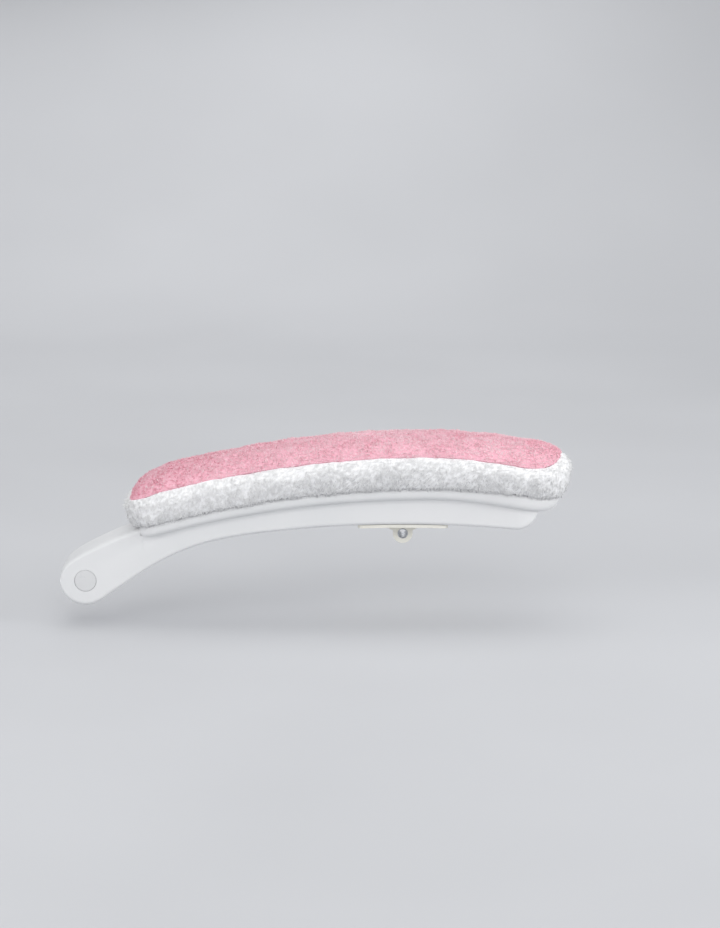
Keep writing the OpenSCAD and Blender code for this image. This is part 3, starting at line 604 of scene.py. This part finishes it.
# The band's outside from the rim up to the seam, and its inside from the seam down and under the board as a hem.
BAND_ROWS = [
    (-SKIN_IN, 0.25), (0.3 * OUT, 0.1 * FULL), (0.72 * OUT, 0.45 * FULL), (OUT, FULL),
    (0.95 * OUT, FULL + 0.42 * TO_SEAM), (SEAM + 0.52 * (OUT - SEAM), FULL + 0.75 * TO_SEAM), (SEAM, SEAM_H - 0.3)
]
BAND_INNER = [
    (SEAM - PLUSH_T, SEAM_H - 0.5 * PLUSH_T - 0.5), (0.94 * OUT - PLUSH_T, FULL + 0.36 * TO_SEAM),
    (OUT - PLUSH_T, FULL), (0.72 * OUT - PLUSH_T, 0.52 * FULL), (-WRAP_IN, 1.6), (-WRAP_IN, HEM_TOP),
    (-HEM_IN, HEM_TOP), (-HEM_IN, HEM_LOW), (-SKIN_IN, HEM_LOW)
]
FOAM_ROWS = [
    (-5.2, 1.2), (0.3 * OUT - 5.0, 0.25 * FULL + 0.9), (0.72 * OUT - 4.9, 0.52 * FULL + 0.6), (OUT - 4.5, FULL),
    (0.94 * OUT - 4.7, FULL + 0.3 * TO_SEAM)
]
CROWN_SHARES = 1 - np.linspace(0.99, 0.02, 66) ** 2
FOAM_SHARES = 1 - np.linspace(0.15, 0.98, 16) ** 2

crown = softly_uneven(crown_grid(CROWN_SHARES, 0, 0)[::-1], (0.3, 0.15), (34.0, 9.0), 300)[::-1]
crown_under = crown_grid(CROWN_SHARES[::6], PLUSH_T, PLUSH_T)
pink_cover = stacked("pink_cover", np.concatenate([crown_under, crown[::-1]]), PINK_GROUND)
band = softly_uneven(band_grid(BAND_ROWS, 52), (0.3, 0.15), (30.0, 8.0), 400)
white_cover = hooped("white_side_band", np.concatenate([band, band_grid(BAND_INNER, 24)]), WHITE_GROUND)
foam_crown = crown_grid(FOAM_SHARES, PLUSH_T + 1.1, PLUSH_T + 0.6)
foam_block = stacked("foam_block", np.concatenate([band_grid(FOAM_ROWS, 18), foam_crown]), FOAM)

# Tufts in a lock and at most in a piece, and how deep they root; then where the pink's painted light begins toward
# the front and its painted shade toward the rear, and the distance from the middle over which the white band's deeper
# tufts, a painted shade, thin out into painted light at its ends.
LOCK_TUFTS = 5
PIECE_TUFTS = 19500
ROOT_SINK = 0.4
FRONT_PAINTED_LIGHT_FROM = 60.0
REAR_PAINTED_SHADE_FROM = -60.0
BAND_PAINTED_LIGHT_ENDS = (90.0, 150.0)


def tufts(name, grid, locks, material, length, width, radius, nap, seed):
    """Locks of tufts over a grid: the tufts of a lock start round its root and run together to its tip.

    Start of a tuft = lock's root + disc offset, and its way = lock's root + lock's lean * length - start of the tuft.
    """
    rng = np.random.default_rng(seed)
    normal, along, up = grid_frames(grid)
    row, column = scatter(grid, locks, rng)
    root = sample(grid, row, column)
    n, a, u = (sample(v, row, column) for v in (normal, along, up))
    lean, bend, grow, tone, share = nap(root, n, a, u, row / (len(grid) - 1), rng)
    reach = unit(lean) * (rng.uniform(*length, locks) * grow)[:, None]
    order = np.argsort(root[:, 0])
    made = []
    for k, part in enumerate(np.array_split(order, math.ceil(locks * LOCK_TUFTS / PIECE_TUFTS))):
        own = np.repeat(part, LOCK_TUFTS)
        turn = rng.uniform(0, 2 * np.pi, len(own))
        away = radius * np.sqrt(rng.random(len(own)))
        start = root[own] + (away * np.cos(turn))[:, None] * a[own] + (away * np.sin(turn))[:, None] * u[own]
        way = root[own] + reach[own] - start + 0.2 * rng.normal(size=start.shape)
        size = np.linalg.norm(way, axis=1) * rng.uniform(0.8, 1.1, len(own))
        wide = rng.uniform(*width, len(own))
        # Each tuft's share of the deep colour: its nap's painted shade and light and random flecks, spread a little
        # at random.
        shade = np.clip(tone[own] + 0.08 * rng.normal(size=len(own)), 0, 1)
        start -= ROOT_SINK * n[own]
        made.append(pile(f"{name}_{k + 1}", start, n[own], way, bend[own], wide, size, shade, share[own], material))
    return made


def short_nap(root, n, a, u, height, rng):
    """Short pile: nearly upright with a slow drift, folded down along the seam, with painted shade deepening its
    colour to the rear and painted light paling it at the front.

    Lean = 0.7 n + (0.45 + drift) a + drift u + stray - (fold / 2 + comb) u, where fold ends at 5% of the height, and
    comb at half of it. Tone = 0.19 (1 - front) + rear / 2 + flecks that grow to the rear: painted light at the front,
    painted shade at the rear, and random flecks whose growth to the rear paints shade between the locks.
    """
    x = root[:, 0]
    # front and rear bring in the painted light toward the front and the painted shade toward the rear; front also
    # calms the stray and the shading normals.
    front = smooth_step(x, FRONT_PAINTED_LIGHT_FROM, TRAY_FRONT)
    rear = np.clip((REAR_PAINTED_SHADE_FROM - x) / (REAR_PAINTED_SHADE_FROM - TRAY_REAR), 0, 1) ** 2
    drift_a = 0.22 * waves(root, 18.0, 501)
    drift_u = 0.22 * waves(root, 18.0, 503)
    stray = rng.normal(size=root.shape) * (0.22 - 0.08 * front)[:, None]
    fold = np.clip(1 - height / 0.05, 0, 1)[:, None]
    comb = np.clip(1 - height / 0.5, 0, 1) * (0.15 + 0.85 * rear)
    lean = 0.7 * n + (0.45 + drift_a)[:, None] * a + drift_u[:, None] * u + stray - 0.5 * fold * u
    lean -= comb[:, None] * u
    bend = -0.2 * n + 0.5 * stray
    grow = 1 + 0.06 * waves(root, 12.0, 506)
    fleck = waves(root, 4.0, 505) + rng.normal(size=len(root))
    # Painted light and shade: less deep colour toward the front, more toward the rear, and random flecks that grow to
    # the rear as painted shade between the locks.
    tone = 0.19 - 0.19 * front + 0.5 * rear + (0.08 + 0.16 * rear - 0.04 * front) * fleck
    return lean, bend, grow, np.clip(tone, 0, 1), 0.9 + 0.06 * front - 0.35 * comb


def long_nap(root, n, a, u, height, rng):
    """Longer pile combed down and forward: flat under the seam, looser in its lower half, and short at the rim.

    Lean = rise n - 0.8 low u + 0.7 drift a + stray. Rise and stray grow with loose, which falls with height and round
    the nose, and low comes in over the first tenth above the rim. Tone = loose times chance, less at both ends:
    painted shade of grey gaps between the loose strands, taken back by painted light round the nose and at both ends.
    """
    drift = 0.5 + 0.3 * waves(root, 15.0, 601) + 0.3 * waves(root, 45.0, 602)
    nose = smooth_step(n[:, 0], 0.35, 0.75)
    ends = np.maximum(nose, smooth_step(np.abs(root[:, 0]), *BAND_PAINTED_LIGHT_ENDS))
    loose = (np.clip(1.1 - 1.2 * height, 0.1, 1) * (1 - 0.75 * nose))[:, None]
    stray = rng.normal(size=root.shape) * (0.1 + 0.25 * loose)
    low = np.clip(height / 0.12 + rng.uniform(0.1, 0.7, len(root)), 0.1, 1)[:, None]
    rise = (0.35 + 0.3 * loose) * (1 - 0.5 * nose)[:, None]
    lean = rise * n - 0.8 * low * u + 0.7 * drift[:, None] * a + stray
    bend = -0.2 * n + 0.5 * stray
    # Painted shade: loose strands take the grey deep colour for the gaps between them, and ends lifts it as painted
    # light round the nose and at both ends.
    chance = 0.3 + 0.6 * rng.normal(size=len(root))
    tone = np.clip(0.05 + loose[:, 0] * chance, 0, 1) * (1 - 0.6 * ends)
    grow = 1 + 0.06 * waves(root, 9.0, 604)
    grow = grow * np.clip(0.6 + height / 0.25, 0, 1) * np.clip(1.5 - 0.7 * height, 0, 1)
    return lean, bend, grow, tone, 0.95 - 0.16 * loose[:, 0]


# piece, skin, locks, finish, shortest and longest, thinnest and thickest, radius of a lock at its root, nap, seed
pink_pile = tufts("pink_pile", crown[::-1], 18200, PINK_FIBRE, (1.7, 2.4), (0.55, 0.8), 0.75, short_nap, 51)
white_pile = tufts("white_pile", band, 14600, WHITE_FIBRE, (3.0, 4.3), (0.5, 0.7), 0.8, long_nap, 52)

# ---- tray rim ----

# The rim is fullest RIM_FULL under the crease, and stands RIM_PROUD off the tray's outline there.
RIM_FULL = 3.4
RIM_PROUD = 0.3
# Under that its edge rolls in and down: along the sides, more at the front and nose, and less at the rear.
ROLL_IN = 7.6
ROLL_DOWN = 8.1
ROLL_POWER = 1.3
ROLL_STEPS = 8
FRONT_DROP = 3.4
NOSE_ROLL_POWER = 0.55
NOSE_ROLL_IN = 9.6
NOSE_ROLL_DOWN = 1.6
REAR_IN = 2.4
REAR_SINK = 1.2
# The roll turns back up inside by rows this much further in.
LIP_T = 0.7
LIP_UP = 0.6
RIM_FLOOR_IN = 15.0


def rolled_edge():
    """Rows of the rim's rolled edge: offset = proud - in (1 - cos t)^power and height = -full - down sin t.

    It deepens toward the front, turns further in round the nose, and at the rear end shrinks into the arm.
    """
    nose = np.maximum(0, NX) ** 2
    front = smooth_step(PAD[:, 0], CREASE_X, NOSE_MIDDLE)
    rear = smooth_step(-NX, 0.75, 1.0)
    inward = (ROLL_IN + NOSE_ROLL_IN * nose) * (1 - rear) + REAR_IN * rear
    down = (ROLL_DOWN + FRONT_DROP * front + NOSE_ROLL_DOWN * nose) * (1 - rear)
    down += (RIM_H - RIM_FULL + REAR_SINK) * rear
    power = ROLL_POWER - NOSE_ROLL_POWER * nose
    outer = [
        (RIM_PROUD - inward * (1 - math.cos(t)) ** power, -RIM_FULL - down * math.sin(t))
        for t in np.linspace(0.5 * math.pi, 0, ROLL_STEPS)
    ]
    inner = [
        (off - LIP_T * math.sin(0.3 + k), np.minimum(-RIM_H, height + LIP_UP))
        for k, (off, height) in enumerate(outer[:3])
    ]
    return inner[::-1] + outer


# From under the tray's floor, round the rolled edge and up the rim, then down inside and back over the floor.
RIM_ROWS = [
    (-RIM_FLOOR_IN, -RIM_H), (-8.0, -RIM_H), (-COVE_IN - 0.4, -RIM_H), *rolled_edge(), (-0.25, -0.2 * RIM_H),
    (-0.4 * RIM_T, -0.1), (-0.7 * RIM_T, -0.1), (-RIM_T, -0.15 * RIM_H), (-RIM_T, -RIM_H + TRAY_T + 0.4),
    (-RIM_T - 0.6, -RIM_H + TRAY_T), (-RIM_FLOOR_IN, -RIM_H + TRAY_T)
]
white_rim = stacked("white_tray_rim", band_grid(RIM_ROWS, 110), WHITE_SHELL)
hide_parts("rim_tray")

# ---- beam, slide and pivot ----

# The plug: how far the moulded one stands proud, how deep its face lies here, its round edge, dome and hub.
CAP_PROUD = 0.8
CAP_FACE = 0.35
CAP_ROUND = 0.9
CAP_DOME = 0.2
CAP_HUB = 0.3
CAP_SIDES = 72


def pivot_cap_disc():
    """A lathed plug just under the arm's face.

    Round its edge the radius is r - e (1 - cos t) and the depth face + e (1 - sin t), with e for CAP_ROUND. Inside
    the edge the face rises to its middle as dome (1 - (radius / r)^2).
    """
    low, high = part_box("pivot_cap")
    middle = (low + high) / 2 / MM
    full = (high.x - low.x) / 2 / MM
    front = low.y / MM + CAP_PROUD + CAP_FACE
    t = np.linspace(0, np.pi / 2, 7)
    inner = np.linspace(full - CAP_ROUND, CAP_HUB, 8)[1:]
    radius = np.concatenate([[full], full - CAP_ROUND * (1 - np.cos(t)), inner])
    edge = front + CAP_ROUND * (1 - np.sin(t))
    depth = np.concatenate([[high.y / MM], edge, front - CAP_DOME * (1 - (inner / full) ** 2)])
    turn = (np.arange(CAP_SIDES) + 0.5) / CAP_SIDES * 2 * np.pi
    x = middle.x + radius[:, None] * np.cos(turn)
    z = middle.z - radius[:, None] * np.sin(turn)
    grid = np.stack([x, np.repeat(depth[:, None], CAP_SIDES, 1), z], -1)
    disc = stacked("white_pivot_cap", grid, WHITE_CAP)
    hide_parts("pivot_cap")
    return disc


white_cap = pivot_cap_disc()

# node: new piece, smoothing angle, edge round in millimetres, finish, slot, body
COPIES = {
    "arm_beam": ("white_arm_beam", 32, 0.0, WHITE_SHELL, "white_plastic", "pad"),
    "slide_block": ("nylon_slide_block", 30, 0.5, NYLON, "nylon", "slide_block"),
    "slide_retainer": ("steel_slide_retainer", 30, 0.4, STEEL, "zinc_steel", "slide_block"),
    "end_bumpers": ("rubber_end_stops", 30, 0.4, RUBBER, "black_rubber", "pad"),
    "pivot_bushes": ("nylon_pivot_bushes", 30, 0.2, NYLON, "nylon", "pad"),
    "pivot_bolt": ("steel_pivot_bolt", 24, 0.25, STEEL, "zinc_steel", "pivot_bolt"),
    "pivot_spacer": ("steel_pivot_spacer", 30, 0.3, STEEL, "zinc_steel", "pivot_bolt"),
    "pin_sleeve": ("steel_pin_sleeve", 30, 0.2, STEEL, "zinc_steel", "slide_block"),
    "track_plate": ("steel_track_plate", 30, 0.25, STEEL, "zinc_steel", "pad"),
    "pad_screws": ("steel_pad_screws", 24, 0.2, STEEL, "zinc_steel", "pad"),
    "retainer_screws": ("steel_retainer_screws", 24, 0.2, STEEL, "zinc_steel", "slide_block"),
}
for node, (name, angle, edge, material, slot_name, body) in COPIES.items():
    piece = smooth_copy(node, name, angle, edge, material)
    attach(piece, body)

# The nodes that stay as they are and only take a finish.
KEPT = (
    (PLYWOOD, ("base_board",)),
    (STEEL, ("board_tnuts", "hem_staples", "track_screws", "pad_screw_washers", "pivot_sleeve", "pivot_washer")),
)
for material, nodes in KEPT:
    for node in nodes:
        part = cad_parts[node]
        part.data.materials.clear()
        part.data.materials.append(material)

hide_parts("top_panel")
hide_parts("side_band")
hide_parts("foam_core")
PAD_PIECES = {
    "pink_plush": [pink_cover, *pink_pile],
    "white_plush": [white_cover, *white_pile],
    "foam": [foam_block],
    "white_plastic": [white_rim],
    "white_cap": [white_cap],
}
for slot_name, pieces in PAD_PIECES.items():
    for piece in pieces:
        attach(piece, "pad")

# ---- stage, light and camera ----

# In metres. The arm's end comes down by 19.8 mm at the slide's lowest stop, and the floor stays clear of it.
FLOOR_ROOM = 0.0215
FLOOR_Z = CAD_BOX[0].z - FLOOR_ROOM
SWEEP_FRONT = -14.0
SWEEP_HALF = 14.0
SWEEP_TURN_AT = 1.6
SWEEP_RADIUS = 1.2
SWEEP_TOP = 4.5
LIT_PLACE = (-0.05, 0, 0)


def studio_sweep():
    """A floor that turns up into a backdrop: flat, then a quarter circle, then upright."""
    turn = np.linspace(0, np.pi / 2, 24)
    bend = np.stack([SWEEP_TURN_AT + SWEEP_RADIUS * np.sin(turn), SWEEP_RADIUS - SWEEP_RADIUS * np.cos(turn)], 1)
    path = np.concatenate([[[SWEEP_FRONT, 0.0]], bend, [[SWEEP_TURN_AT + SWEEP_RADIUS, SWEEP_TOP]]])
    points = [(x, y, FLOOR_Z + z) for y, z in path for x in (-SWEEP_HALF, SWEEP_HALF)]
    faces = [(2 * i, 2 * i + 1, 2 * i + 3, 2 * i + 2) for i in range(len(path) - 1)]
    f = Finish("pale_sweep", roughness=0.9, Specular_IOR_Level=0.1)
    f.paint(f.blend(f.spread(f.noise(2.0, 2.0), 0.3, 0.7), rgb(202, 203, 206), rgb(207, 208, 211)))
    mesh = bpy.data.meshes.new("studio_sweep")
    mesh.from_pydata(points, [], faces)
    mesh.polygons.foreach_set("use_smooth", np.ones(len(faces), bool))
    linked("studio_sweep", mesh, f.material)


def soft_lamp(name, place, size, power, spread=180.0):
    """A square soft light that faces the pad, its beam spread in degrees."""
    light = bpy.data.lights.new(name, "AREA")
    light.shape = "SQUARE"
    light.size = size
    light.energy = power
    light.spread = math.radians(spread)
    lamp = bpy.data.objects.new(name, light)
    lamp.location = place
    lamp.rotation_euler = (Vector(LIT_PLACE) - Vector(place)).to_track_quat("-Z", "Y").to_euler()
    bpy.context.collection.objects.link(lamp)


def studio_world():
    """Even cool light all round, and a grey haze where the camera or a gloss looks past the backdrop."""
    world = bpy.data.worlds.new("studio_world")
    world.use_nodes = True
    nodes = world.node_tree.nodes
    link = world.node_tree.links.new
    sky = nodes["Background"]
    sky.inputs["Color"].default_value = (0.98, 0.99, 1.0, 1.0)
    sky.inputs["Strength"].default_value = 0.72
    haze = nodes.new("ShaderNodeBackground")
    haze.inputs["Color"].default_value = rgb(178, 179, 182)
    rays = nodes.new("ShaderNodeLightPath")
    seen = rays.outputs["Is Camera Ray"]
    for ray in ("Is Glossy Ray", "Is Transmission Ray"):
        either = nodes.new("ShaderNodeMath")
        either.operation = "MAXIMUM"
        link(seen, either.inputs[0])
        link(rays.outputs[ray], either.inputs[1])
        seen = either.outputs[0]
    mix = nodes.new("ShaderNodeMixShader")
    link(seen, mix.inputs[0])
    link(sky.outputs[0], mix.inputs[1])
    link(haze.outputs[0], mix.inputs[2])
    link(mix.outputs[0], nodes["World Output"].inputs["Surface"])
    bpy.context.scene.world = world


def studio_camera():
    """A long lens at the height and distance from which the pad's side and a little of its top show."""
    lens = bpy.data.cameras.new("studio_camera")
    lens.lens = 129.3
    lens.sensor_width = 36.0
    lens.clip_start = 0.05
    lens.clip_end = 40.0
    camera = bpy.data.objects.new("studio_camera", lens)
    camera.location = (-0.0413, -3.1534, 0.7248)
    camera.rotation_euler = Vector((0.0, 0.9789, -0.2045)).to_track_quat("-Z", "Y").to_euler()
    bpy.context.collection.objects.link(camera)
    bpy.context.scene.camera = camera


studio_sweep()
soft_lamp("key_lamp", (0.2, -2.2, 1.6), 1.6, 10.8)
soft_lamp("side_lamp", (2.3, -0.9, 0.8), 1.1, 6.2, 95.0)
soft_lamp("fill_lamp", (-1.8, -1.5, 0.75), 1.3, 3.6, 95.0)
soft_lamp("top_lamp", (0.1, 0.3, 1.9), 1.6, 6.4)
soft_lamp("back_lamp", (-0.3, 2.2, 1.1), 1.3, 6.5)
studio_world()
studio_camera()
bpy.context.scene.view_settings.view_transform = "Standard"
